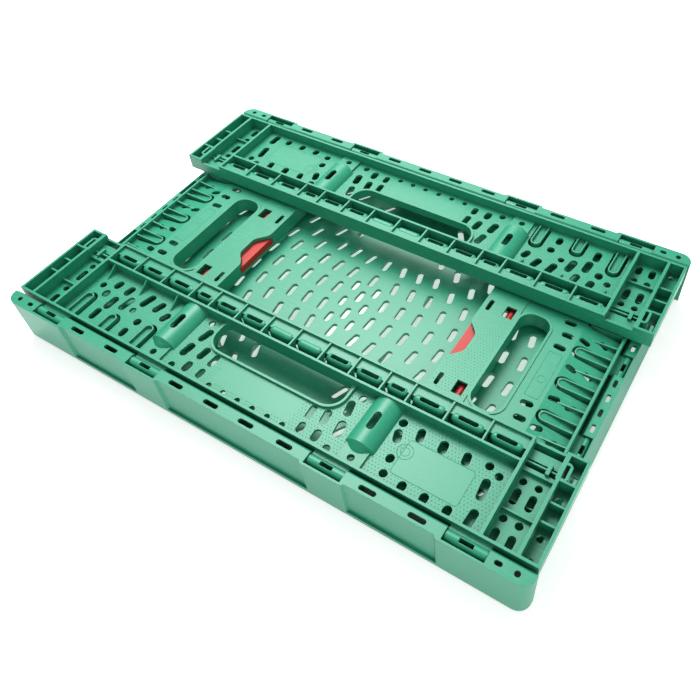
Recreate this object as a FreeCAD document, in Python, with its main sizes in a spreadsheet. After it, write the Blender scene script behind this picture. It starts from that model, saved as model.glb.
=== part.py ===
"""Folding storage crate, 600 x 400 mm, drawn folded flat.

Frame: +X along the long side, +Y along the short side, +Z up. The origin is the centre of the underside.
The walls lie folded inwards with their outer faces up: the two end walls on the floor, the two long
walls on top of them.
"""
import FreeCAD
import Part
import math
import os

V = FreeCAD.Vector
doc = FreeCAD.newDocument("folding_crate")
sheet = doc.addObject("Spreadsheet::Sheet", "Sizes")

SIZES = {
    # base
    "crate_length": 600,
    "crate_width": 400,
    "corner_radius": 12,
    "skirt_bottom": 5.5,
    "foot_inset": 3.5,
    "side_rim_top": 58,
    "side_rim_width": 15.5,
    "end_rim_top": 31,
    "end_rim_foot_inset": 5,
    "end_rim_edge_inset": 10.5,
    "end_rim_inner_inset": 23,
    "rim_skin": 3,
    "inner_skin": 2.5,
    "floor_top": 16,
    "floor_thickness": 4,
    "floor_slot_length": 19,
    "floor_slot_width": 6.8,
    "recess_depth": 2.6,
    # hinges of the long walls
    "side_axis_inset": 10,
    "side_axis_height": 51,
    "side_barrel_radius": 5.5,
    "side_trunnion_radius": 2.6,
    "side_pocket_width": 38,
    "side_hinge_near": 107,
    "side_hinge_far": 241.5,
    # hinges of the end walls
    "end_axis_inset": 16.5,
    "end_axis_height": 24,
    "end_barrel_radius": 4.5,
    "end_trunnion_radius": 2.2,
    "end_pocket_width": 28,
    "end_hinge_near": 52,
    "end_hinge_far": 150,
    "running_clearance": 0.1,
    "hinge_gap": 8.7,
    # long walls
    "long_wall_play": 1.5,
    "long_wall_reach": 112,
    "long_wall_under": 41,
    "long_wall_top": 59.5,
    "rib": 2.5,
    "strip_width": 28,
    "bead_radius": 5,
    "long_panel_top": 47.5,
    "panel_thickness": 3,
    "long_handle_half": 78,
    "long_handle_depth": 32,
    # end walls
    "end_wall_play": 20.7,
    "end_wall_reach": 152.5,
    "end_wall_under": 21,
    "end_wall_top": 39,
    "beam_width": 40,
    "beam_skin": 2.5,
    "end_panel_high": 38,
    "end_panel_low": 31.5,
    "end_handle_half": 64,
    "end_handle_width": 33,
    # lock
    "bolt_width": 9,
    "bolt_under": 26,
    "bolt_top": 33,
    "bolt_centre": 123,
    "bolt_tip_inset": 16,
    "lever_plate_under": 31,
    "lever_plate_top": 33.5,
    "lever_travel": 5,
    "sliding_gap": 0.35,
}
for row, (alias, value) in enumerate(SIZES.items(), start=1):
    sheet.set(f"A{row}", alias)
    sheet.set(f"B{row}", str(value))
    sheet.setAlias(f"B{row}", alias)
doc.recompute()


def size(alias):
    """The number in a named cell."""
    return float(getattr(sheet, alias))


def expr(text):
    """An expression in which each word is a named cell."""
    out = ""
    word = ""
    for ch in str(text) + " ":
        if ch.isalnum() or ch in "_.":
            word += ch
            continue
        out += f"Sizes.{word}" if word in SIZES else word
        out += ch
        word = ""
    return out.strip()


def bind(obj, prop, text):
    obj.setExpression(prop, expr(text))


def box(x0, x1, y0, y1, z0, z1, name="Block"):
    """A block between six planes, each a number or a formula of named sizes."""
    obj = doc.addObject("Part::Box", name)
    for prop, low, high in (("Length", x0, x1), ("Width", y0, y1), ("Height", z0, z1)):
        bind(obj, prop, f"({high}) - ({low})")
    for axis, low in (("x", x0), ("y", y0), ("z", z0)):
        bind(obj, f"Placement.Base.{axis}", low)
    return obj


def rod(axis, x, y, z, radius, length, name="Rod"):
    """A cylinder that starts at a point and runs along +X, +Y or +Z."""
    obj = doc.addObject("Part::Cylinder", name)
    turn = {"x": (V(0, 1, 0), 90), "y": (V(1, 0, 0), -90), "z": (V(0, 0, 1), 0)}[axis]
    obj.Placement = FreeCAD.Placement(V(0, 0, 0), FreeCAD.Rotation(*turn))
    bind(obj, "Radius", radius)
    bind(obj, "Height", length)
    for way, low in (("x", x), ("y", y), ("z", z)):
        bind(obj, f"Placement.Base.{way}", low)
    return obj


def sketch(wires, z0, name="Outline"):
    """A sketch of closed wires, each a list of edges, level with z0."""
    obj = doc.addObject("Sketcher::SketchObject", name)
    for wire in wires:
        obj.addGeometry(wire, False)
    bind(obj, "Placement.Base.z", z0)
    return obj


def extrude(base, height, name="Sheet"):
    obj = doc.addObject("Part::Extrusion", name)
    obj.Base = base
    obj.DirMode = "Custom"
    obj.Dir = V(0, 0, 1)
    obj.Solid = True
    obj.FaceMakerClass = "Part::FaceMakerBullseye"
    bind(obj, "LengthFwd", height)
    return obj


def fuse(parts, name="Joined"):
    obj = doc.addObject("Part::MultiFuse", name)
    obj.Shapes = parts
    return obj


def cut(base, tools, name="Trimmed"):
    obj = doc.addObject("Part::Cut", name)
    obj.Base = base
    obj.Tool = tools[0] if len(tools) == 1 else fuse(tools, name + "Tools")
    return obj


def common(base, tool, name="Shared"):
    obj = doc.addObject("Part::Common", name)
    obj.Base = base
    obj.Tool = tool
    return obj


def ball(x, y, z, radius, name="Ball"):
    """A sphere about a point."""
    obj = doc.addObject("Part::Sphere", name)
    bind(obj, "Radius", radius)
    for way, middle in (("x", x), ("y", y), ("z", z)):
        bind(obj, f"Placement.Base.{way}", middle)
    return obj


def polygon(points):
    """Edges of a closed polygon."""
    ends = points[1:] + points[:1]
    return [Part.LineSegment(V(*a, 0), V(*b, 0)) for a, b in zip(points, ends)]


def arc(cx, cy, radius, start, stop):
    circle = Part.Circle(V(cx, cy, 0), V(0, 0, 1), radius)
    return Part.ArcOfCircle(circle, math.radians(start), math.radians(stop))


def obround(x, y, length, width, angle=90):
    """Edges of a slot with round ends; angle is its long axis from +X. A round hole has equal sides."""
    if length - width < 0.01:
        return [Part.Circle(V(x, y, 0), V(0, 0, 1), width / 2)]
    reach = (length - width) / 2
    r = width / 2
    a = math.radians(angle)
    ux, uy = math.cos(a), math.sin(a)
    px, py = -uy, ux
    ends = [(x + s * reach * ux, y + s * reach * uy) for s in (1, -1)]
    (ax, ay), (bx, by) = ends
    return [
        Part.LineSegment(V(bx - r * px, by - r * py, 0), V(ax - r * px, ay - r * py, 0)),
        arc(ax, ay, r, angle - 90, angle + 90),
        Part.LineSegment(V(ax + r * px, ay + r * py, 0), V(bx + r * px, by + r * py, 0)),
        arc(bx, by, r, angle + 90, angle + 270),
    ]


def rounded(x0, x1, y0, y1, radii):
    """Edges of a rectangle with round corners: radii start at the lower left and go anticlockwise."""
    a, b, c, d = radii
    edges = [
        Part.LineSegment(V(x0 + a, y0, 0), V(x1 - b, y0, 0)),
        Part.LineSegment(V(x1, y0 + b, 0), V(x1, y1 - c, 0)),
        Part.LineSegment(V(x1 - c, y1, 0), V(x0 + d, y1, 0)),
        Part.LineSegment(V(x0, y1 - d, 0), V(x0, y0 + a, 0)),
    ]
    corners = (
        (a, x0 + a, y0 + a, 180),
        (b, x1 - b, y0 + b, 270),
        (c, x1 - c, y1 - c, 0),
        (d, x0 + d, y1 - d, 90),
    )
    return edges + [arc(cx, cy, r, at, at + 90) for r, cx, cy, at in corners if r > 0]


def frustum(points, low, high, along, name="Web"):
    """A prism: points are (horizontal, z) pairs, pushed along X or Y from low to high."""
    obj = doc.addObject("Sketcher::SketchObject", name + "Profile")
    turn = FreeCAD.Rotation(V(0, 0, 1), 90) if along == "x" else FreeCAD.Rotation()
    upright = FreeCAD.Rotation(V(1, 0, 0), 90)
    obj.Placement = FreeCAD.Placement(V(0, 0, 0), turn.multiply(upright))
    obj.addGeometry(polygon(points), False)
    bind(obj, f"Placement.Base.{along}", low)
    push = doc.addObject("Part::Extrusion", name)
    push.Base = obj
    push.DirMode = "Custom"
    push.Dir = V(1, 0, 0) if along == "x" else V(0, 1, 0)
    push.Solid = True
    bind(push, "LengthFwd", f"({high}) - ({low})")
    return push


def turned(obj, on, x=0.0, y=0.0):
    """Moves a piece by x and y, then for the opposite side gives it half a turn about the centre."""
    turn = FreeCAD.Placement(V(0, 0, 0), FreeCAD.Rotation(V(0, 0, 1), 180 if on else 0))
    obj.Placement = turn.multiply(FreeCAD.Placement(V(x, y, 0), FreeCAD.Rotation()))
    return obj


def half_length():
    return size("crate_length") / 2


def half_width():
    return size("crate_width") / 2


DRAWN = (300, 200)   # the walls and locks are drawn in a crate of this half length and half width,
                     # then moved to the real one's hinge lines


# ---------------------------------------------------------------- base

ARC_BEND = 0.0019  # the floor's slot columns bow towards the middle by this much times y squared
SLOT_EDGE = 6      # solid floor kept around the slots
PLAIN = (48, 85)   # no slots nearer the middle than this in x and farther out than this in y


def floor_slots():
    """Slots of the floor: a straight middle column, a diamond of short slots beside it, then bowed
    columns whose slots lean with the bow."""
    length = size("floor_slot_length")
    width = size("floor_slot_width")
    short = 0.78 * length
    reach_y = half_width() - size("side_rim_width") - SLOT_EDGE - length / 2
    reach_x = half_length() - size("end_rim_inner_inset") - SLOT_EDGE - width / 2
    out = [obround(0, s * y, length * (0.9 if y < 20 else 1), width) for s in (1, -1)
           for y in (14, 41, 69) if y < reach_y]
    out += [obround(x, y, short, width * 0.95) for x in (-13.5, 13.5) for y in (-26, 0, 26)]
    columns = (
        (31, 14, 27.5), (52, 14, 28), (73, 14.5, 29), (94.5, 0, 30.5), (115.5, 15.5, 31),
        (136.5, 0, 31.5), (157.5, 0, 32), (174, 17, 32), (194.5, 17, 32), (215.5, 0, 32),
        (236.5, 17, 32), (257, 0, 32),
    )
    for x0, first, pitch in columns:
        for s in (1, -1):
            y = first
            while y < reach_y:
                x = x0 - ARC_BEND * y * y
                plain = x < PLAIN[0] and y > PLAIN[1]
                if 13 < x < reach_x and not plain:
                    lean = math.degrees(2 * ARC_BEND * y)
                    for way in ((1, -1) if y > 0 else (1,)):
                        out.append(obround(s * x, way * y, length, width, 90 + s * way * lean))
                y += pitch
    return out


def make_floor():
    x = half_length() - size("end_rim_inner_inset")
    y = half_width() - size("side_rim_width")
    outline = polygon([(-x, -y), (x, -y), (x, y), (-x, y)])
    plate = sketch([outline] + floor_slots(), "floor_top - floor_thickness", "FloorOutline")
    floor = extrude(plate, "floor_thickness", "FloorPlate")
    through = extrude(sketch(floor_slots(), -1, "FloorSlots"), "floor_top + 2", "FloorSlotCut")
    under = "floor_top - floor_thickness"
    foot_x, foot_y = x - size("foot_inset"), y - size("foot_inset")
    wall = 3
    ribs = [box(-foot_x, foot_x, y0, y0 + wall, 0, under, "FootRing") for y0 in (-foot_y, foot_y - wall)]
    ribs += [box(x0, x0 + wall, -foot_y, foot_y, 0, under, "FootRing") for x0 in (-foot_x, foot_x - wall)]
    ribs += [box(x0 - 1, x0 + 1, -foot_y, foot_y, 4, under, "FloorRib") for x0 in (-225, -63, 63, 225)]
    ribs += [box(-foot_x, foot_x, y0 - 1, y0 + 1, 4, under, "FloorRib") for y0 in (-110, 110)]
    return cut(fuse([floor] + ribs, "FloorBlank"), [through], "base_floor")


CHEEK = 3.5        # wall of a hinge pocket
SOCKET = 2.4       # depth of the trunnion's socket in the cheek
POCKET_LIP = 2.2   # rim left outside a pocket
FLANGE_SLOTS = (20.7, 64, 150.5, 198)
RECESSES = ((-219, -128), (-86, 86), (128, 219))


def side_hinges():
    near, far = size("side_hinge_near"), size("side_hinge_far")
    return (-far, -near, near, far)


def end_hinges():
    near, far = size("end_hinge_near"), size("end_hinge_far")
    return (-far, -near, near, far)


def make_side_rim(name, back):
    """The tall long side of the base, hollow from below, with four hinge pockets. Drawn at the front."""
    half = half_length()
    y0 = -half_width()
    y1 = y0 + size("side_rim_width")
    r = size("corner_radius")
    outline = rounded(-half, half, y0, y1, (r, r, 0, 0))
    body = extrude(sketch([outline], "skirt_bottom", "RimOutline"), "side_rim_top - skirt_bottom", "RimBlock")
    outer = "crate_width / 2"
    inner = "crate_width / 2 - side_rim_width"
    top = "side_rim_top"
    axis_y = "0 - crate_width / 2 + side_axis_inset"
    cavity_y0, cavity_y1 = f"6 - {outer}", f"0 - ({inner}) - inner_skin"
    tools = []
    edges = [-half + 6]
    for c in side_hinges():
        w = size("side_pocket_width") / 2
        edges += [c - w - CHEEK, c + w + CHEEK]
        tools.append(box(c - w, c + w, f"{POCKET_LIP} - {outer}", f"1 - ({inner})",
                         "side_axis_height - side_barrel_radius - 1.5", f"{top} + 1", "Pocket"))
        tools.append(box(c - w, c + w, cavity_y0, cavity_y1, -1,
                         "side_axis_height - side_barrel_radius - 4", "PocketHollow"))
        tools.append(rod("x", c - w - SOCKET, axis_y, "side_axis_height",
                         "side_trunnion_radius + running_clearance",
                         f"side_pocket_width + {2 * SOCKET}", "Socket"))
    edges.append(half - 6)
    for a, b in zip(edges[::2], edges[1::2]):
        cells = max(1, round((b - a) / 45))
        step = (b - a) / cells
        tools += [box(a + i * step + (1 if i else 0), a + (i + 1) * step - 1, cavity_y0, cavity_y1,
                      -1, f"{top} - rim_skin", "RimCell") for i in range(cells)]
    line = y0 + 7.6
    slots = [obround(s * x, line, 17, 4.8, 0) for x in FLANGE_SLOTS for s in (1, -1)]
    slots += [obround(s * (half - 30), line, 7, 4.4, 0) for s in (1, -1)]
    slots += [obround(s * (half - 14), line, 5.4, 5.4) for s in (1, -1)]
    tools.append(extrude(sketch(slots, f"{top} - rim_skin - 1", "FlangeSlots"), "rim_skin + 2"))
    depth = size("recess_depth")
    for a, b in RECESSES:
        points = [(a, y0 - 1), (b, y0 - 1), (b, y0), (b - depth, y0 + depth),
                  (a + depth, y0 + depth), (a, y0)]
        tools.append(extrude(sketch([polygon(points)], "skirt_bottom + 5", "RecessOutline"), "side_rim_top"))
    lead = [(y1 - 2, size("side_rim_top") + 0.01), (y1 + 1, size("side_rim_top") + 1),
            (y1 + 1, size("side_rim_top") - 3), (y1, size("side_rim_top") - 2)]
    tools.append(frustum(lead, -half - 1, half + 1, "x", "InnerChamfer"))
    return turned(cut(body, tools, name), back)


END_RIM_SLOTS = (9.4, 28.2, 77, 96, 115, 172)


def make_end_rim(name, right):
    """The low short side of the base with a sloping outer face and four hinge pockets. Drawn at -X."""
    foot, edge, inner = (half_length() - size(f"end_rim_{part}_inset") for part in ("foot", "edge", "inner"))
    top = size("end_rim_top")
    y = "crate_width / 2 - side_rim_width"
    low = size("skirt_bottom")
    profile = [(-foot, low), (-foot, low + 5), (-edge, top), (-inner - 2.5, top), (-inner, top - 2.5),
               (-inner, low)]
    body = frustum(profile, f"0 - ({y})", y, "y", "EndRimBlock")
    axis_x = "0 - crate_length / 2 + end_axis_inset"
    outer = "crate_length / 2 - end_rim_edge_inset"
    within = "crate_length / 2 - end_rim_inner_inset"
    cavity_x0, cavity_x1 = f"3 - ({outer})", f"0 - ({within}) - inner_skin"
    tools = []
    edges = [-half_width() + size("side_rim_width") + 2]
    for c in end_hinges():
        w = size("end_pocket_width") / 2
        edges += [c - w - CHEEK, c + w + CHEEK]
        tools.append(box(f"1.1 - ({outer})", f"1 - ({within})", c - w, c + w,
                         "end_axis_height - end_barrel_radius - 1.2", "end_rim_top + 1", "Pocket"))
        tools.append(rod("y", axis_x, c - w - SOCKET, "end_axis_height",
                         "end_trunnion_radius + running_clearance",
                         f"end_pocket_width + {2 * SOCKET}", "Socket"))
    edges.append(-edges[0])
    for a, b in zip(edges[::2], edges[1::2]):
        cells = max(1, round((b - a) / 35))
        step = (b - a) / cells
        tools += [box(cavity_x0, cavity_x1, a + i * step + (1 if i else 0), a + (i + 1) * step - 1,
                      -1, "end_rim_top - rim_skin", "RimCell") for i in range(cells)]
    line = -inner - 7
    slots = [obround(line, s * at, 9.5, 3.8) for at in END_RIM_SLOTS for s in (1, -1)]
    tools.append(extrude(sketch(slots, "end_rim_top - rim_skin - 1", "FlangeSlots"), "rim_skin + 2"))
    return turned(cut(body, tools, name), right)


# ---------------------------------------------------------------- long walls

STRIP_RIBS = (34.5, 69.5, 104, 131.5, 171, 210)
STRIP_SLOTS = ((52, 20), (86.7, 20), (117.7, 14.5), (151, 20), (190.5, 20), (228, 20))
BOSS_X = 118
BOSS_RADIUS = 16.6   # a boss is a low hump: the top of a tube that lies mostly below the panel
BOSS_AXIS = 41
BOSS_TAPER = 7       # how far its end falls, and over what length
BOSS_FOOT = 12       # half the width of the pad between the hump and the hinge
NEAR_HANDLE = (
    (59, 148.5, 16, 7, 4), (60.5, 166.5, 12, 7, 2), (74, 146.5, 16.5, 8, 8), (77.5, 166.5, 13, 8, 3),
    (92, 150.5, 18, 8.6, 9), (93, 172.5, 7.5, 7.5, 0), (87.5, 128.3, 18, 8, 13), (92.5, 113, 7.5, 7.5, 0),
)
LABEL_SIDE = (
    (138.4, 117, 8.5, 8.5, 0), (158.5, 120.5, 14.5, 7.5, 12), (181.5, 121, 14, 8.5, 6),
    (204.5, 121, 14, 7.6, 8), (224.7, 117, 8, 8, 0), (236, 122, 7.6, 7.6, 0), (141, 131, 14.5, 8, 20),
    (230, 139, 21.5, 8, 6), (147, 153, 9, 8, 0), (233, 167, 19, 8, -3), (149.5, 168, 8, 8, 0),
    (169.5, 170.5, 10, 8, 0), (191, 170.5, 10, 8, 0), (213, 170.5, 10, 8, 0),
)
TONGUE_SIDE = (
    (162.5, 149.7, 9, 8.6, 0), (165.4, 166.5, 12, 7.5, 0), (178.3, 140.5, 7.4, 7.4, 0),
    (210.4, 163, 16, 8, 0), (141.4, 131, 13, 8, 20), (156.5, 124, 16, 8, 18), (173.8, 123, 19.5, 8.6, 14),
    (191, 137, 20, 8.4, 9), (206.8, 144, 19, 8.6, 4), (201.5, 122.5, 14, 8.4, 12),
    (218.5, 121.5, 12, 8.4, 10), (222, 137, 10, 8.6, 0), (234, 129.5, 7.8, 7.8, 0),
)
TONGUES = ((143, 144), (187.5, 152), (232.3, 142))
EDGE_HOLES = (9, 26.5, 44)
END_BLOCK = ((0, 114.4, 7, 7), (0, 129.8, 16, 7), (0, 152, 7.2, 7.2), (0, 168, 13, 7))


PANEL_DRAWN = (106, 181.3)   # the panel's holes are drawn between these distances from the middle


def panel_y(y):
    """A drawn distance from the middle, moved in step with the real depth of the panel."""
    near, far = PANEL_DRAWN
    axis = DRAWN[1] - size("side_axis_inset")
    hinge = axis - size("hinge_gap")
    strip = axis - size("long_wall_reach") + size("strip_width")
    return hinge - (far - y) * (hinge - strip) / (far - near)


def panel_hole(x, y, length, width, lean=0):
    """A hole of a long wall's panel; y is its drawn distance from the crate's middle, at the front."""
    real = panel_y(y + length / 2) - panel_y(y - length / 2)
    return obround(x, -panel_y(y), max(real, width), width, 90 + lean)


def long_panel_holes():
    out = []
    for x, y, length, width, lean in NEAR_HANDLE:
        out += [panel_hole(x, y, length, width, lean), panel_hole(-x, y, length, width, -lean)]
    out += [panel_hole(x, y, length, width, lean) for x, y, length, width, lean in LABEL_SIDE]
    out += [panel_hole(-x, y, length, width, -lean) for x, y, length, width, lean in TONGUE_SIDE]
    out += [panel_hole(s * x, 173, 6, 6) for x in EDGE_HOLES for s in (1, -1)]
    return out


def u_band(cx, cy, wide, narrow, legs, angle):
    """Edges of a U-shaped band: its round end is about (cx, cy) and its legs point along the angle."""
    a = math.radians(angle)
    ux, uy = math.cos(a), math.sin(a)

    def at(along, across):
        return V(cx + along * ux - across * uy, cy + along * uy + across * ux, 0)

    return [
        Part.LineSegment(at(legs, wide), at(0, wide)),
        arc(cx, cy, wide, angle + 90, angle + 270),
        Part.LineSegment(at(0, -wide), at(legs, -wide)),
        Part.LineSegment(at(legs, -wide), at(legs, -narrow)),
        Part.LineSegment(at(legs, -narrow), at(0, -narrow)),
        arc(cx, cy, narrow, angle + 90, angle + 270),
        Part.LineSegment(at(0, narrow), at(legs, narrow)),
        Part.LineSegment(at(legs, narrow), at(legs, wide)),
    ]


TONGUE_HALF = 5.6    # half the width of a tongue
TONGUE_SLIT = 2.8    # width of the gap round it
TONGUE_RIM = 1.4     # thickness of its raised rim


def tongue(cx, cy, reach, angle):
    """The slit that frees a tongue and the raised rim along its edge, as two bands."""
    wide = TONGUE_HALF + TONGUE_SLIT
    slit = u_band(cx, cy, wide, TONGUE_HALF, reach, angle)
    rim = u_band(cx, cy, TONGUE_HALF, TONGUE_HALF - TONGUE_RIM, reach, angle)
    return slit, rim


LATCH = (51, 22)     # the latch pocket spans this much short of the crate's end


def latch_pocket(s):
    """Walls of the latch pocket at the free corner on side s: a low shelf behind a dipped edge, two
    slots with a post between them, a ledge, and a ring that guides the bolt."""
    low = "long_wall_under"
    end = half_length()
    a, b = sorted((s * (end - LATCH[0] - 1), s * (end - LATCH[1] + 1)))
    post = s * (end - 30)
    solids = [
        box(a, b, -94.5, -84.5, 47, 49.5, "LatchShelf"),
        box(a, b, -98.5, -97, low, 51, "LatchWall"),
        box(a, b, -106.5, -102.5, low, 49.5, "LatchLedge"),
        box(post - 1.7, post + 1.7, -103, -92, 47, 53, "LatchPost"),
    ]
    a, b = sorted((s * (end - 22), s * (end - 19)))
    solids.append(box(a, b, -106, -79, low, "long_wall_top", "LatchSide"))
    a, b = sorted((s * (end - 20), s * (end - 12)))
    radii = (0, 4.5, 4.5, 0) if s > 0 else (4.5, 0, 0, 4.5)
    ring = [rounded(a, b, -106, -87.7, radii)]
    a, b = sorted((s * (end - 21.5), s * (end - 14.5)))
    solids.append(cut(extrude(sketch(ring, low, "BoltRingOutline"), f"long_wall_top - {low}"),
                      [box(a, b, -103.5, -90, 43, 70, "BoltRingHollow")], "BoltRing"))
    return solids


def boss_end(x, y):
    """The tapered end of a boss column."""
    cone = doc.addObject("Part::Cone", "BossEnd")
    cone.Placement = FreeCAD.Placement(V(0, 0, 0), FreeCAD.Rotation(V(1, 0, 0), -90))
    bind(cone, "Radius1", BOSS_RADIUS - BOSS_TAPER)
    bind(cone, "Radius2", BOSS_RADIUS)
    bind(cone, "Height", BOSS_TAPER)
    for way, low in (("x", x), ("y", y), ("z", BOSS_AXIS)):
        bind(cone, f"Placement.Base.{way}", low)
    return cone


def make_long_wall(name, back):
    """One long wall, moulded in one piece: frame, rim strip with its bead, perforated panel, handle
    opening, boss columns, end cells, latch pockets and four hinge knuckles. Drawn at the front."""
    half = "(crate_length / 2 - long_wall_play)"
    end = half_length()
    axis = DRAWN[1] - size("side_axis_inset")
    edge = axis - size("long_wall_reach")
    hinge = axis - size("hinge_gap")
    rib = size("rib")
    strip = edge + size("strip_width")
    low, top = "long_wall_under", "long_wall_top"
    panel = size("long_panel_top")
    skin = "panel_thickness"
    solids = [
        box(f"0 - {half}", half, -hinge, -hinge + rib, low, top, "HingeRib"),
        box(f"0 - {half}", half, -edge - rib, -edge, low, top, "FreeEdge"),
        box(51 - end, end - 51, -strip, -strip + rib, low, top, "StripRib"),
        box(51 - end, end - 51, -strip, -edge, low, f"{low} + {skin}", "StripSkin"),
    ]
    for s in (-1, 1):
        for x0, wide in ((end - size("long_wall_play") - rib, rib), (end - 21, 3), (end - 53.5, 3)):
            a, b = sorted((s * x0, s * (x0 + wide)))
            solids.append(box(a, b, -hinge, -edge, low, top, "CrossRib"))
    rib_at = [0] + [s * x for x in STRIP_RIBS for s in (1, -1)]
    solids += [box(x - 0.9, x + 0.9, -strip, -edge, low, f"{top} - 0.6", "StripWeb") for x in rib_at]
    bead = edge + 13.7
    bead_centre = f"{top} - 2.5 - bead_radius"
    r = size("bead_radius")
    ribs_out = [0, *STRIP_RIBS, end - 53]
    cells = [(s * (a + 2.2 + r), s * (b - 2.2 - r)) for a, b in zip(ribs_out, ribs_out[1:]) for s in (1, -1)]
    feet = [obround((a + b) / 2, -bead, abs(b - a) + 2 * r, 2 * r, 0) for a, b in cells]
    solids.append(extrude(sketch(feet, low, "BeadFeet"), f"{bead_centre} - {low}", "Bead"))
    for a, b in cells:
        a, b = sorted((a, b))
        solids.append(rod("x", a, -bead, bead_centre, "bead_radius", b - a, "BeadBack"))
        solids += [ball(x, -bead, bead_centre, "bead_radius", "BeadEnd") for x in (a, b)]
    solids.append(box(53 - end, end - 53, -bead, -edge - 1, f"{top} - 5", f"{top} - 3.4", "BeadLedge"))
    plate_holes = long_panel_holes()
    rims = []
    for x, reach in TONGUES:
        tip = panel_y(reach + TONGUE_HALF + TONGUE_SLIT)
        slit, rim = tongue(-x, -tip, hinge - rib - 1 - tip, 270)
        plate_holes.append(slit)
        rims.append(rim)
    solids.append(extrude(sketch(rims, f"long_panel_top - {skin}", "TongueRims"), 6.5, "TongueRim"))
    side = end - 52
    outline = polygon([(-side, -hinge + 1), (side, -hinge + 1), (side, -strip + 1), (-side, -strip + 1)])
    plate = sketch([outline] + plate_holes, f"long_panel_top - {skin}", "PanelOutline")
    solids.append(extrude(plate, skin, "Panel"))
    for s in (-1, 1):
        x0, x1 = s * side, s * (end - 20)
        ends = polygon([(x0, -hinge + 1), (x1, -hinge + 1), (x1, -104), (x0, -104)])
        holes = [obround(s * (x + end - 38), -y, length, width) for dx, y, length, width in END_BLOCK
                 for x in (-7.3, 7)]
        solids.append(extrude(sketch([ends] + holes, 42, "EndBlock"), 2.7))
        x0, x1 = s * (end - 19), s * (end - 3)
        cells = polygon([(x0, -hinge + 1), (x1, -hinge + 1), (x1, -80), (x0, -80)])
        holes = [obround(s * (end - 12), -y, 7, 7) for y in (115.5, 152.5, 174)]
        solids.append(extrude(sketch([cells] + holes, low, "OuterCells"), 2.5))
        for y0, z1 in ((104.5, 59.5), (124.5, 56), (143, 56)):
            a, b = sorted((s * (end - 20), s * (end - 2.5)))
            solids.append(box(a, b, -y0 - 2, -y0, low, z1, "CellWeb"))
        a, b = sorted((s * side, s * (end - 20)))
        solids.append(box(a, b, -146, -144.2, 42, 49, "EndStep"))
        solids += latch_pocket(s)
        solids.append(rod("y", s * BOSS_X, -157, BOSS_AXIS, BOSS_RADIUS, 157 - strip + 1, "Boss"))
        solids.append(boss_end(s * BOSS_X, -157 - BOSS_TAPER))
        foot = (s * BOSS_X - BOSS_FOOT, s * BOSS_X + BOSS_FOOT)
        solids.append(box(*foot, -hinge + 1, -158, f"long_panel_top - {skin}", 50, "BossFoot"))
    for x in (-236, -188, -143):
        web = [(-strip - 18, panel - 1), (-strip + 1, panel - 1), (-strip + 1, 58.5)]
        solids.append(frustum(web, x - 0.7, x + 0.7, "x", "Gusset"))
    mouth = -strip - size("long_handle_depth")
    reach = size("long_handle_half")
    lip = rounded(-reach - 2.5, reach + 2.5, mouth - 2.5, -strip + 1, (20, 20, 0, 0))
    solids.append(extrude(sketch([lip], low, "HandleLip"), 9.5))
    for c in side_hinges():
        w = size("side_pocket_width") / 2 - 0.5
        solids.append(rod("x", c - w, -axis, "side_axis_height", "side_barrel_radius", 2 * w, "Barrel"))
        solids.append(rod("x", c - w - SOCKET + 0.4, -axis, "side_axis_height", "side_trunnion_radius",
                          2 * (w + SOCKET - 0.4), "Trunnion"))
        solids.append(box(c - w, c + w, -axis, -hinge + 1, "side_axis_height - 5.5",
                          "side_axis_height + 3", "KnuckleArm"))
    body = fuse(solids, name + "Solid")
    tools = [extrude(sketch([rounded(-reach, reach, mouth, -strip, (17.5, 17.5, 6, 6))], 0, "Handle"), 80)]
    tools.append(box(61 - end, end - 61, -bead - 2.8, -bead + 2.8, 0, f"{top} - 5", "BeadHollow"))
    tools.append(extrude(sketch([obround(s * x, -bead, long, 4.8, 0) for x, long in STRIP_SLOTS
                                 for s in (1, -1)], 50, "BeadSlots"), 20))
    for s in (-1, 1):
        tools.append(rod("y", s * BOSS_X, -156, BOSS_AXIS, BOSS_RADIUS - 2.5, 156 - strip - 1, "BossHollow"))
        tools.append(box(s * BOSS_X - 20, s * BOSS_X + 20, -166, -strip - 0.5, 20,
                         f"long_panel_top - {skin}", "BossTrim"))
        tools.append(box(s * BOSS_X - 20, s * BOSS_X + 20, -strip - 1, -strip + 2, 20, low, "BossFootTrim"))
        holes = [obround(s * BOSS_X, -132.5, 20, 7.4), obround(s * BOSS_X, -170.5, 7, 7)]
        tools.append(extrude(sketch(holes, 30, "BossHoles"), 40))
        a, b = sorted((s * (end - 15.4), s * (end - 6.6)))
        tools.append(box(a, b, -105, -89, 30, 45.5, "BoltMouth"))
        a, b = sorted((s * (end - LATCH[0]), s * (end - LATCH[1])))
        tools.append(box(a, b, -83, -70, 54, 70, "EdgeDip"))
    for c in side_hinges():
        tools.append(box(c - 6.5, c + 6.5, -axis - 2.2, -axis + 1.8, 30, 70, "KnuckleWindow"))
    return turned(cut(body, tools, name), back, y=DRAWN[1] - half_width())


# ---------------------------------------------------------------- end walls

PIN_RADIUS = 2
PIN_AT = 18
BOLT_STEP = 33       # the bolt is lowered from here to its inner end
PLATE_HALF = 26      # half the width of the lever's plate
END_TONGUES = (0, 42, 84, 126)
PANEL_FLAT = 234     # the panel is level from the handle to here, then falls to the hinges
END_PANEL_SLOTS = (
    (220, 71.5, 13, 6.6, 0), (223.5, 55, 12.5, 6.6, 0), (222.5, 37.5, 13, 6.6, -4),
    (241, 56.4, 12, 6.4, -14), (242, 19.8, 12, 6.4, -14), (259, 20.7, 11, 5.6, -28),
    (258.5, 63, 11, 5.6, -28), (241, 105, 12, 6.4, -14), (223, 96, 13, 6.6, 0), (223, 117, 13, 6.6, 0),
    (223, 138, 13, 6.6, 0), (241, 147, 12, 6.4, -14), (259, 105, 11, 5.6, -28),
)
NOTCH_HALF = 29
NOTCH_DEPTH = 12.5
NOTCH_FLAT = 9


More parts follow.
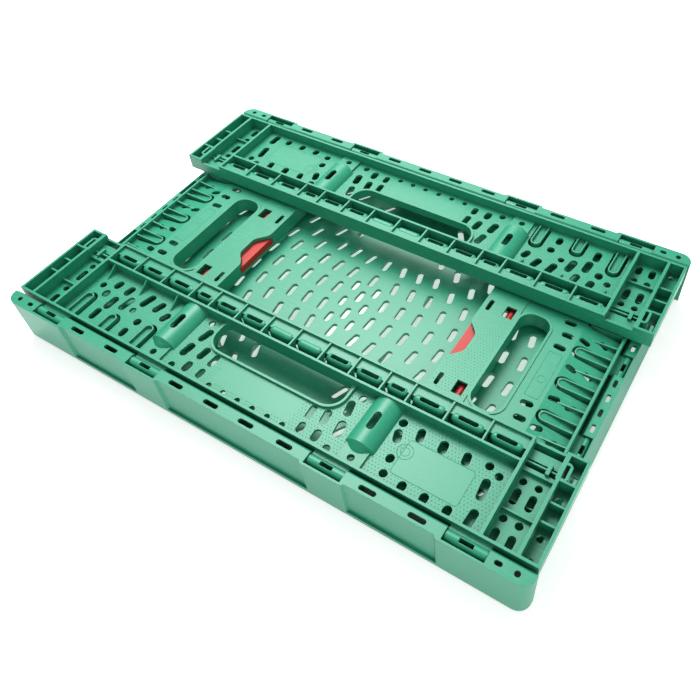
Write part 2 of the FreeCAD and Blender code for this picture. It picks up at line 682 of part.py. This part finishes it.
def notch(edge, grow=0.0):
    """The wave-shaped notch in the free edge, as polygon points; edge is its x, grow widens it."""
    points = []
    steps = 10
    deep = NOTCH_DEPTH + grow
    for i in range(steps + 1):
        t = i / steps
        y = NOTCH_HALF + grow - (NOTCH_HALF - NOTCH_FLAT) * t
        points.append((edge + deep * (1 - math.cos(math.pi * t)) / 2, y))
    return points + [(x, -y) for x, y in reversed(points)]


def make_end_wall(name, left):
    """One end wall, moulded in one piece: hollow handle beam, handle opening with a deep wall, thin
    panel with tongues, and four hinge knuckles. Drawn at +X."""
    axis = DRAWN[0] - size("end_axis_inset")
    edge = axis - size("end_wall_reach")
    hinge = axis - size("hinge_gap")
    rib = size("rib")
    beam = edge + size("beam_width")
    reach = "(crate_width / 2 - end_wall_play)"
    side = half_width() - 22
    low, top = "end_wall_under", "end_wall_top"
    skin = size("beam_skin")
    solids = [
        box(hinge - rib, hinge, f"0 - {reach}", reach, low, top, "HingeRib"),
        box(edge, edge + rib, f"0 - {reach}", reach, low, top, "FreeEdge"),
        box(beam - rib, beam, f"0 - {reach}", reach, low, top, "BeamBack"),
        box(edge, beam, f"0 - {reach}", reach, f"{top} - beam_skin", top, "BeamTop"),
        box(edge, hinge, f"{reach} - rib", reach, low, top, "EndRib"),
        box(edge, hinge, f"0 - {reach}", f"rib - {reach}", low, top, "EndRib"),
    ]
    outline = polygon([(beam - 1, -side), (hinge - 1, -side), (hinge - 1, side), (beam - 1, side)])
    holes = []
    for x, y, length, width, lean in END_PANEL_SLOTS:
        holes += [obround(x, y, length, width, lean), obround(x, -y, length, width, -lean)]
    tongues = sorted({s * y for y in END_TONGUES for s in (1, -1)})
    rims = []
    for y in tongues:
        tip = PANEL_FLAT + TONGUE_HALF + TONGUE_SLIT
        slit, rim = tongue(tip, y, hinge - rib - 1 - tip, 0)
        holes.append(slit)
        rims.append(rim)
    high, down, skin_z = size("end_panel_high"), size("end_panel_low"), size("panel_thickness")
    fall = [(beam - 1, high - skin_z), (PANEL_FLAT, high - skin_z), (hinge - 1, down - skin_z),
            (hinge - 1, down), (PANEL_FLAT, high), (beam - 1, high)]
    slab = extrude(sketch([outline] + holes, low, "PanelOutline"), 30, "PanelSlab")
    solids.append(common(slab, frustum(fall, -side, side, "y", "PanelFall"), "Panel"))
    solids.append(extrude(sketch(rims, "end_panel_low - 2", "TongueRims"),
                          "end_panel_high - end_panel_low + 2.4", "TongueRim"))
    for y in tongues[:-1]:
        start = PANEL_FLAT + 12
        web = [(hinge - 1, down - 1), (start, high - 3), (start, high - 2), (hinge - 1, high)]
        solids.append(frustum(web, y + 20.3, y + 21.7, "y", "Gusset"))
    mouth = (beam + 1.5, beam + 1.5 + size("end_handle_width"))
    hh = size("end_handle_half")
    lip = rounded(mouth[0] - 2.5, mouth[1] + 2.5, -hh - 2.5, hh + 2.5, (16, 16, 16, 16))
    solids.append(extrude(sketch([lip], low, "HandleWall"), f"{top} - {low}"))
    for y in (34, 100, 160):
        for s in (-1, 1):
            solids.append(box(edge + 1, beam - 1, s * y - 1.2, s * y + 1.2, low, f"{top} - 1", "Guide"))
    for y in (-6, 6):
        solids.append(box(edge + rib, beam - 1, y - 1, y + 1, low, "lever_plate_under - 0.3", "LeverRest"))
    wall = notch(edge, 1.8)
    solids.append(extrude(sketch([polygon(wall)], "lever_plate_top + sliding_gap", "NotchWall"),
                          f"{top} - lever_plate_top - sliding_gap"))
    for c in end_hinges():
        w = size("end_pocket_width") / 2 - 0.5
        solids.append(rod("y", axis, c - w, "end_axis_height", "end_barrel_radius", 2 * w, "Barrel"))
        solids.append(rod("y", axis, c - w - SOCKET + 0.4, "end_axis_height", "end_trunnion_radius",
                          2 * (w + SOCKET - 0.4), "Trunnion"))
        solids.append(box(hinge - 1, axis, c - w, c + w, "end_axis_height - 2.9",
                          "end_axis_height + 3.5", "KnuckleArm"))
    body = fuse(solids, name + "Solid")
    handle = rounded(*mouth, -hh, hh, (14, 14, 14, 14))
    tools = [extrude(sketch([handle], 0, "Handle"), 60)]
    tools.append(extrude(sketch([polygon([(edge - 1, NOTCH_HALF)] + notch(edge)
                                         + [(edge - 1, -NOTCH_HALF)])], "bolt_under - 1.5", "Notch"), 30))
    bolt = axis - size("bolt_centre")
    tools.append(box(edge - 1, edge + NOTCH_DEPTH + size("lever_travel") + 0.5, -NOTCH_HALF, NOTCH_HALF,
                     "bolt_under - 1.5", "lever_plate_top + sliding_gap", "TabWay"))
    relief = PLATE_HALF + 0.6
    tools.append(box(beam - rib - 1, beam - 1.2, -relief, relief,
                     "lever_plate_under - sliding_gap", "lever_plate_top + sliding_gap", "PlateRelief"))
    for s in (-1, 1):
        a, b = sorted((s * 45.5, s * 61))
        tools.append(box(bolt - 5.5, bolt + 5.5, a, b, f"{top} - beam_skin - 0.5", f"{top} + 1", "Window"))
        tools.append(extrude(sketch([obround(edge + 7.3, s * 53.3, 15.5, 5)], 36, "BeamSlot"), 5))
        a, b = sorted((s * 30, s * (half_width() - 10)))
        tools.append(box(bolt - 4.85, bolt + 4.85, a, b, "bolt_under - sliding_gap",
                         "bolt_top + sliding_gap", "BoltWay"))
    for c in end_hinges():
        tools.append(box(axis - 2, axis + 1.8, c - 5, c + 5, 10, 50, "KnuckleWindow"))
    return turned(cut(body, tools, name), left, x=half_length() - DRAWN[0])


# ---------------------------------------------------------------- lock

def make_lever(name, left):
    """The red release lever: a half-moon finger tab on a flat plate with two slanting cam slots."""
    axis = DRAWN[0] - size("end_axis_inset")
    edge = axis - size("end_wall_reach")
    bolt = axis - size("bolt_centre")
    travel = size("lever_travel")
    moon = notch(edge, -0.6)
    tab = extrude(sketch([polygon(moon)], "bolt_under - 1", "Tab"), "lever_plate_top - bolt_under + 1")
    plate = box(edge + 8, bolt + PIN_RADIUS + 2, -PLATE_HALF, PLATE_HALF,
                "lever_plate_under", "lever_plate_top", "Plate")
    tools = [box(edge + 2.8, edge + 20, -22, 22, "bolt_under - 2", "lever_plate_under - 1.5", "TabHollow")]
    for s in (-1, 1):
        x, y = bolt - travel / 2, s * (PIN_AT - travel / 2)
        slot = obround(x, y, travel * math.sqrt(2) + 2 * PIN_RADIUS + 0.6, 2 * PIN_RADIUS + 0.6, s * 45)
        tools.append(extrude(sketch([slot], "lever_plate_under - 1", "CamSlot"), 6))
    return turned(cut(fuse([tab, plate], name + "Solid"), tools, name), left, x=half_length() - DRAWN[0])


def make_bolt(name, side, left):
    """A red lock bolt: a round-backed bar with a lowered inner end that carries the cam pin."""
    axis = DRAWN[0] - size("end_axis_inset")
    bolt = axis - size("bolt_centre")
    r = size("bolt_width") / 2
    y0, y1 = PIN_AT - 5, half_width() - size("bolt_tip_inset")
    a, b = sorted((side * y0, side * y1))
    centre = size("bolt_top") - r
    bar = fuse([
        box(bolt - r, bolt + r, a, b, "bolt_under", centre, "BarFoot"),
        rod("y", bolt, a, centre, "bolt_width / 2", b - a, "BarBack"),
    ])
    a, b = sorted((side * (y0 - 1), side * BOLT_STEP))
    c, d = sorted((side * y0, side * y1))
    tools = [
        box(bolt - 6, bolt + 6, a, b, "lever_plate_under - 0.5", "bolt_top + 1", "InnerStep"),
        box(bolt - 6, bolt + 6, c - 1, d + 1, "bolt_under - 3", "bolt_under", "Level"),
    ]
    pin = rod("z", bolt, side * PIN_AT, "bolt_under + 1", PIN_RADIUS, "bolt_top - bolt_under", "Pin")
    return turned(fuse([cut(bar, tools), pin], name), left, x=half_length() - DRAWN[0])


# ---------------------------------------------------------------- assembly

nodes = [
    make_floor(),
    make_side_rim("base_side_front", False),
    make_side_rim("base_side_back", True),
    make_end_rim("base_end_left", False),
    make_end_rim("base_end_right", True),
    make_long_wall("long_wall_front", False),
    make_long_wall("long_wall_back", True),
    make_end_wall("end_wall_right", False),
    make_end_wall("end_wall_left", True),
    make_lever("release_lever_right", False),
    make_lever("release_lever_left", True),
    make_bolt("lock_bolt_right_back", 1, False),
    make_bolt("lock_bolt_right_front", -1, False),
    make_bolt("lock_bolt_left_front", 1, True),
    make_bolt("lock_bolt_left_back", -1, True),
]
doc.recompute()

os.makedirs("parts", exist_ok=True)
for node in nodes:
    bad = [word for word in ("Invalid", "Error") if word in node.State]
    if bad or node.Shape.isNull() or not node.Shape.isValid():
        raise RuntimeError(f"{node.Name} is not a sound shape: {node.State}")
    node.Label = node.Name
    node.Shape.exportStep(f"parts/{node.Label}.step")
    print(node.Label, len(node.Shape.Solids), round(node.Shape.Volume))
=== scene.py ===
"""Folding storage crate, folded flat: green moulded walls on a slotted base, with red release slides."""
import bpy
import numpy as np
from mathutils import Matrix, Vector


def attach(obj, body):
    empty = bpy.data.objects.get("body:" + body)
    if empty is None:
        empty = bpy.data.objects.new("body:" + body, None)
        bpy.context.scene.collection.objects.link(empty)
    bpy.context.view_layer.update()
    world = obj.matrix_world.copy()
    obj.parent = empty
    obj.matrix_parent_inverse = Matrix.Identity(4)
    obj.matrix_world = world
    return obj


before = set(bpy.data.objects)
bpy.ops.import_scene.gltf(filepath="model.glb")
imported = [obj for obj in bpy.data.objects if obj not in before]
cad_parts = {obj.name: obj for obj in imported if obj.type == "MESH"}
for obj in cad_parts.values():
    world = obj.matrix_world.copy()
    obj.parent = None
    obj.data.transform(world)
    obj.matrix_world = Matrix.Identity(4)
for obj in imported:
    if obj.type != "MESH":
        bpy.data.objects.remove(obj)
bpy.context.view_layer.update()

# ---------------------------------------------------------------- base tray
# The base is one injection moulding in polypropylene, dyed through in a cool green: a slotted floor
# between four hollow rims. Spark erosion of the tool leaves a satin skin, and stacking scuffs it.


def from_hex(code):
    """sRGB hex text to linear RGBA: each channel c is ((c + 0.055) / 1.055) to the power 2.4."""
    c = np.array([int(code[i:i + 2], 16) for i in (1, 3, 5)]) / 255
    linear = np.where(c <= 0.04045, c / 12.92, ((c + 0.055) / 1.055) ** 2.4)
    return (*linear.tolist(), 1.0)


def node(tree, kind, settings, inputs):
    """Adds one node. settings are its properties; inputs maps an input's name or number to a value or
    to the socket that feeds it."""
    made = tree.nodes.new(kind)
    for key, value in settings.items():
        setattr(made, key, value)
    for key, value in inputs.items():
        if isinstance(value, bpy.types.NodeSocket):
            tree.links.new(value, made.inputs[key])
        else:
            made.inputs[key].default_value = value
    return made


def moulded_polypropylene(name, dye, edge_highlight_and_scuff, crevice_shade, roughness, edge):
    """Injection-moulded polypropylene. The dye varies by a few percent where the melt flowed (patches of
    about 110 mm); the eroded skin is 0.15 mm grit, drawn at 0.9 mm so that it shows; edges are rounded by
    the given millimetres and painted paler, a painted highlight for light caught on the rounding; inner
    corners are darkened by an ambient occlusion mask, which is painted shade; flat faces carry fine
    scuffs in the same pale colour as the edge highlight."""
    mat = bpy.data.materials.new(name)
    mat.use_nodes = True
    tree = mat.node_tree
    tree.nodes.clear()
    where = node(tree, "ShaderNodeTexCoord", {}, {}).outputs["Object"]
    flow = node(tree, "ShaderNodeTexNoise", {},
                {"Vector": where, "Scale": 9.0, "Detail": 3.0}).outputs["Fac"]
    colour = node(tree, "ShaderNodeMix", {"data_type": "RGBA"},
                  {0: flow, 6: from_hex(dye[0]), 7: from_hex(dye[1])}).outputs[2]
    # painted shade: an ambient occlusion mask darkens inner corners and recesses towards a near-black colour,
    # standing in for the shade that falls there
    near = node(tree, "ShaderNodeAmbientOcclusion", {"samples": 8}, {"Distance": 0.010}).outputs["AO"]
    corner = node(tree, "ShaderNodeMapRange", {}, {0: near, 1: 0.2, 2: 0.8, 3: 0.62, 4: 0.0}).outputs[0]
    colour = node(tree, "ShaderNodeMix", {"data_type": "RGBA"},
                  {0: corner, 6: colour, 7: from_hex(crevice_shade)}).outputs[2]
    # the angle between the rounded and the flat normal is large only on an edge
    rounded = node(tree, "ShaderNodeBevel", {"samples": 6}, {"Radius": edge / 1000}).outputs[0]
    flat = node(tree, "ShaderNodeNewGeometry", {}, {}).outputs["Normal"]
    along = node(tree, "ShaderNodeVectorMath", {"operation": "DOT_PRODUCT"},
                 {0: rounded, 1: flat}).outputs["Value"]
    # painted highlight: an edge mask from the rounded normal lays up to half the pale colour on edges,
    # standing in for light caught by the rounding
    painted_edge_highlight = node(tree, "ShaderNodeMapRange", {}, {0: along, 1: 0.995, 2: 0.8, 3: 0.0, 4: 0.5}).outputs[0]
    # scuffs run along the piece: 2 mm wide and 20 mm long, on a third of the skin
    streak = node(tree, "ShaderNodeMapping", {}, {"Vector": where, "Scale": (60.0, 420.0, 420.0)}).outputs[0]
    scuff = node(tree, "ShaderNodeTexNoise", {}, {"Vector": streak, "Scale": 1.0, "Detail": 4.0,
                                                  "Roughness": 0.7}).outputs["Fac"]
    scuff = node(tree, "ShaderNodeMapRange", {}, {0: scuff, 1: 0.56, 2: 0.78, 3: 0.0, 4: 0.22}).outputs[0]
    # the pale colour carries two marks: the painted edge highlight and real scuffs
    edge_highlight_and_scuff_mask = node(tree, "ShaderNodeMath", {"operation": "MAXIMUM"}, {0: painted_edge_highlight, 1: scuff}).outputs[0]
    colour = node(tree, "ShaderNodeMix", {"data_type": "RGBA"},
                  {0: edge_highlight_and_scuff_mask, 6: colour, 7: from_hex(edge_highlight_and_scuff)}).outputs[2]
    matt = node(tree, "ShaderNodeMapRange", {},
                {0: scuff, 1: 0.0, 2: 0.22, 3: roughness, 4: roughness + 0.16})
    grit = node(tree, "ShaderNodeTexNoise", {},
                {"Vector": where, "Scale": 1100.0, "Detail": 2.0}).outputs["Fac"]
    skin = node(tree, "ShaderNodeBump", {}, {"Strength": 0.3, "Distance": 0.0001, "Height": grit,
                                             "Normal": rounded}).outputs[0]
    plastic = node(tree, "ShaderNodeBsdfPrincipled", {},
                   {"Base Color": colour, "Roughness": matt.outputs[0], "IOR": 1.49, "Normal": skin})
    node(tree, "ShaderNodeOutputMaterial", {}, {"Surface": plastic.outputs[0]})
    return mat


# third colour: pale, used for the painted edge highlight and for scuffs; fourth colour: near-black painted
# shade for inner corners
green = moulded_polypropylene("polypropylene green, moulded satin", ("#1E8B69", "#289675"), "#92D2B4",
                              "#03301F", 0.40, 0.5)
for name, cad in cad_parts.items():
    if name.startswith("base_"):
        cad.data.materials.clear()
        cad.data.materials.append(green)

# ---------------------------------------------------------------- long walls
# Each long wall is one moulding of the same green. Its outer face carries rows of moulded pips for
# grip round the slots, a smooth raised-edge field for a card label, and the mould's date ring.

for name in ("long_wall_front", "long_wall_back"):
    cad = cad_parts[name]
    cad.data.materials.clear()
    cad.data.materials.append(green)


def on_skin(cad, x, y, level, margin):
    """True for each point (x, y) where the flat skin at that level lies under it and all round it, within
    the margin: rays dropped from 1 mm above land within 0.05 mm of the level."""
    ring = [(0, 0), (margin, 0), (-margin, 0), (0, margin), (0, -margin)]

    def landed(px, py):
        hit, at, _, _ = cad.ray_cast(Vector((px, py, level + 0.001)), Vector((0, 0, -1)), distance=0.0012)
        return hit and abs(at.z - level) < 0.00005

    return np.array([all(landed(a + dx, b + dy) for dx, dy in ring) for a, b in zip(x, y)], bool)


def pips(name, x, y, level, radius, height):
    """Low round pips on a level: height times (1 - t squared) at t times the radius, for t = 0, 0.6 and 1,
    with eight sides. Every pip's rings are worked out in one array."""
    turn = np.arange(8) * np.pi / 4
    shape = [(0.0, 0.0, 1.0)]
    shape += [(t * np.cos(a), t * np.sin(a), 1 - t * t) for t in (0.6, 1.0) for a in turn]
    shape = np.array(shape) * (radius, radius, height)
    points = np.stack([x, y, np.full(len(x), level)], 1)[:, None] + shape[None]
    k = np.arange(8)
    cap = np.stack([k * 0, 1 + k, 1 + (k + 1) % 8], 1)
    side = np.stack([1 + k, 9 + k, 9 + (k + 1) % 8, 1 + (k + 1) % 8], 1)
    start = (np.arange(len(x)) * len(shape))[:, None, None]
    faces = (cap[None] + start).reshape(-1, 3).tolist() + (side[None] + start).reshape(-1, 4).tolist()
    mesh = bpy.data.meshes.new(name)
    mesh.from_pydata(points.reshape(-1, 3).tolist(), [], faces)
    mesh.shade_smooth()
    piece = bpy.data.objects.new(name, mesh)
    bpy.context.scene.collection.objects.link(piece)
    mesh.materials.append(green)
    return piece


def lattice(x0, x1, y0, y1, pitch):
    """Points of a staggered lattice: rows one pitch apart, each second row moved by half a pitch."""
    rows = np.arange(y0, y1, pitch)
    columns = np.arange(x0, x1, pitch)
    gx, gy = np.meshgrid(columns, rows)
    gx = gx + (np.arange(len(rows)) % 2)[:, None] * pitch / 2
    return gx.ravel(), gy.ravel()


def raised_line(name, path, level, width, height):
    """A closed raised line: the half-round section (width / 2 times cos a, height times sin a) carried
    along a closed path of (x, y) points, square to the path at each."""
    path = np.array(path)
    ahead = np.roll(path, -1, 0) - np.roll(path, 1, 0)
    ahead /= np.linalg.norm(ahead, axis=1)[:, None]
    across = np.stack([ahead[:, 1], -ahead[:, 0]], 1)
    a = np.linspace(0, np.pi, 6)
    flat = path[:, None] + across[:, None] * (np.cos(a) * width / 2)[None, :, None]
    tall = np.broadcast_to(level + np.sin(a) * height, flat.shape[:2])
    points = np.concatenate([flat, tall[..., None]], 2)
    n, m = points.shape[:2]
    i, j = (g.ravel() for g in np.meshgrid(np.arange(n), np.arange(m - 1), indexing="ij"))
    k = (i + 1) % n
    faces = np.stack([i * m + j, k * m + j, k * m + j + 1, i * m + j + 1], 1)
    mesh = bpy.data.meshes.new(name)
    mesh.from_pydata(points.reshape(-1, 3).tolist(), [], faces.tolist())
    mesh.shade_smooth()
    piece = bpy.data.objects.new(name, mesh)
    bpy.context.scene.collection.objects.link(piece)
    mesh.materials.append(green)
    return piece


def rounded_field(x0, x1, y0, y1, radius):
    """Points round a rectangle with round corners, eight to a corner."""
    a = np.linspace(0, np.pi / 2, 8)
    corners = ((x1 - radius, y1 - radius, 0), (x0 + radius, y1 - radius, 1),
               (x0 + radius, y0 + radius, 2), (x1 - radius, y0 + radius, 3))
    return np.concatenate([np.stack([cx + radius * np.cos(a + q * np.pi / 2),
                                     cy + radius * np.sin(a + q * np.pi / 2)], 1)
                           for cx, cy, q in corners])


def circle(cx, cy, radius):
    """Forty points round a circle."""
    a = np.arange(40) * 2 * np.pi / 40
    return np.stack([cx + radius * np.cos(a), cy + radius * np.sin(a)], 1)


PANEL_LEVEL = 0.0475
PANEL = (-0.246, 0.246, -0.179, -0.107)
PIP_PITCH = 0.0033
PIP = (0.00062, 0.00035)         # radius and height of a pip
LABEL = (0.153, 0.218, -0.164, -0.128)
LABEL_CORNER = 0.003
LABEL_CLEAR = 0.001              # no pips within this of the label field
BARE = (0.047, -0.167)           # no pips nearer the middle than this, between handle and hinge edge
RING_AT = (0.155, -0.141)
for name, body, way in (("long_wall_front", "long_front", 1), ("long_wall_back", "long_back", -1)):
    x, y = lattice(*PANEL, PIP_PITCH)
    in_label = ((x > LABEL[0] - LABEL_CLEAR) & (x < LABEL[1] + LABEL_CLEAR)
                & (y > LABEL[2] - LABEL_CLEAR) & (y < LABEL[3] + LABEL_CLEAR))
    by_handle = (np.abs(x) < BARE[0]) & (y > BARE[1])
    x, y = way * x[~(in_label | by_handle)], way * y[~(in_label | by_handle)]
    keep = on_skin(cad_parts[name], x, y, PANEL_LEVEL, 0.0011)
    dots = pips(f"{name}_pips", x[keep], y[keep], PANEL_LEVEL, *PIP)
    pieces = [dots]
    for part, path, width in (("label_edge", rounded_field(*LABEL, LABEL_CORNER), 0.0009),
                              ("date_ring", circle(*RING_AT, 0.0075), 0.0008),
                              ("date_ring_inner", circle(*RING_AT, 0.0042), 0.0006)):
        pieces.append(raised_line(f"{name}_{part}", way * path, PANEL_LEVEL, width, 0.0003))
    for piece in pieces:
        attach(piece, body)

# ---------------------------------------------------------------- end walls
# Each end wall is one green moulding with a hollow handle beam. The beam's top has the same pips, and
# the panel has a thin raised outline for a marker and a round ejector mark.

BEAM_LEVEL = 0.039
END_LEVEL = 0.038
BEAM = (0.1335, 0.1695, -0.062, 0.062)
MARKER = (0.2155, 0.2295, -0.029, 0.029)
for name, body, way in (("end_wall_right", "end_right", 1), ("end_wall_left", "end_left", -1)):
    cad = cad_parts[name]
    cad.data.materials.clear()
    cad.data.materials.append(green)
    x, y = lattice(*BEAM, PIP_PITCH)
    keep = on_skin(cad, way * x, way * y, BEAM_LEVEL, 0.0016)
    dots = pips(f"{name}_pips", way * x[keep], way * y[keep], BEAM_LEVEL, *PIP)
    outline = raised_line(f"{name}_marker_edge", way * rounded_field(*MARKER, 0.001),
                          END_LEVEL, 0.0008, 0.0003)
    mark = raised_line(f"{name}_ejector_mark", way * circle(0.2225, -0.006, 0.004), END_LEVEL, 0.0007, 0.00025)
    for piece in (dots, outline, mark):
        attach(piece, body)

# ---------------------------------------------------------------- release slides and lock bolts
# The slides and bolts are the same plastic in a strong red, moulded with a smoother skin so that they
# run freely in the beams.

# third colour: pale, used for the painted edge highlight and for scuffs; fourth colour: dark painted shade for
# inner corners
red = moulded_polypropylene("polypropylene red, moulded smooth", ("#AC1006", "#B8180C"), "#E25A48", "#4A0602",
                            0.50, 0.4)
for name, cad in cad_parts.items():
    if name.startswith(("release_lever", "lock_bolt")):
        cad.data.materials.clear()
        cad.data.materials.append(red)

# ---------------------------------------------------------------- floor, light and camera
# A plain white light table under a white surround, a broad soft box behind and to the left, and a weak
# fill from the right. The camera looks down at the front right corner.

mesh = bpy.data.meshes.new("light_table")
mesh.from_pydata([(-6, -6, 0), (6, -6, 0), (6, 6, 0), (-6, 6, 0)], [], [(0, 1, 2, 3)])
ground = bpy.data.objects.new("light_table", mesh)
bpy.context.scene.collection.objects.link(ground)
paper = bpy.data.materials.new("white acrylic sheet")
paper.use_nodes = True
sheet = paper.node_tree.nodes["Principled BSDF"]
sheet.inputs["Base Color"].default_value = from_hex("#F4F4F4")
sheet.inputs["Roughness"].default_value = 0.8
sheet.inputs["Emission Color"].default_value = (1, 1, 1, 1)
sheet.inputs["Emission Strength"].default_value = 0.55
mesh.materials.append(paper)

world = bpy.data.worlds.new("white surround")
bpy.context.scene.world = world
world.use_nodes = True
world.node_tree.nodes["Background"].inputs["Color"].default_value = (1, 1, 1, 1)
world.node_tree.nodes["Background"].inputs["Strength"].default_value = 0.45
bpy.context.scene.view_settings.view_transform = "Standard"


def soft_box(name, at, width, power):
    """A square area light at a point, facing the middle of the crate."""
    lamp = bpy.data.lights.new(name, "AREA")
    lamp.size = width
    lamp.energy = power
    lit = bpy.data.objects.new(name, lamp)
    lit.rotation_euler = (-Vector(at)).to_track_quat("-Z", "Y").to_euler()
    lit.location = at
    bpy.context.scene.collection.objects.link(lit)


soft_box("key", (-0.52, 0.55, 1.45), 0.85, 33)
soft_box("back", (-0.9, 1.5, 1.2), 1.2, 10)
soft_box("fill", (1.5, -0.9, 1.3), 1.0, 9)

lens = bpy.data.cameras.new("camera")
lens.sensor_width = 36
lens.lens = 37.1
lens.shift_x = -0.0829
lens.shift_y = -0.0656
view = bpy.data.objects.new("camera", lens)
right = (0.852945, 0.520136, -0.044071)
up = (-0.363476, 0.652393, 0.665033)
back = (0.374659, -0.551218, 0.745513)
pose = np.eye(4)
pose[:3, :3] = np.array((right, up, back)).T
pose[:3, 3] = (0.34494, -0.40103, 0.59903)
view.matrix_world = Matrix(pose.tolist())
bpy.context.scene.collection.objects.link(view)
bpy.context.scene.camera = view
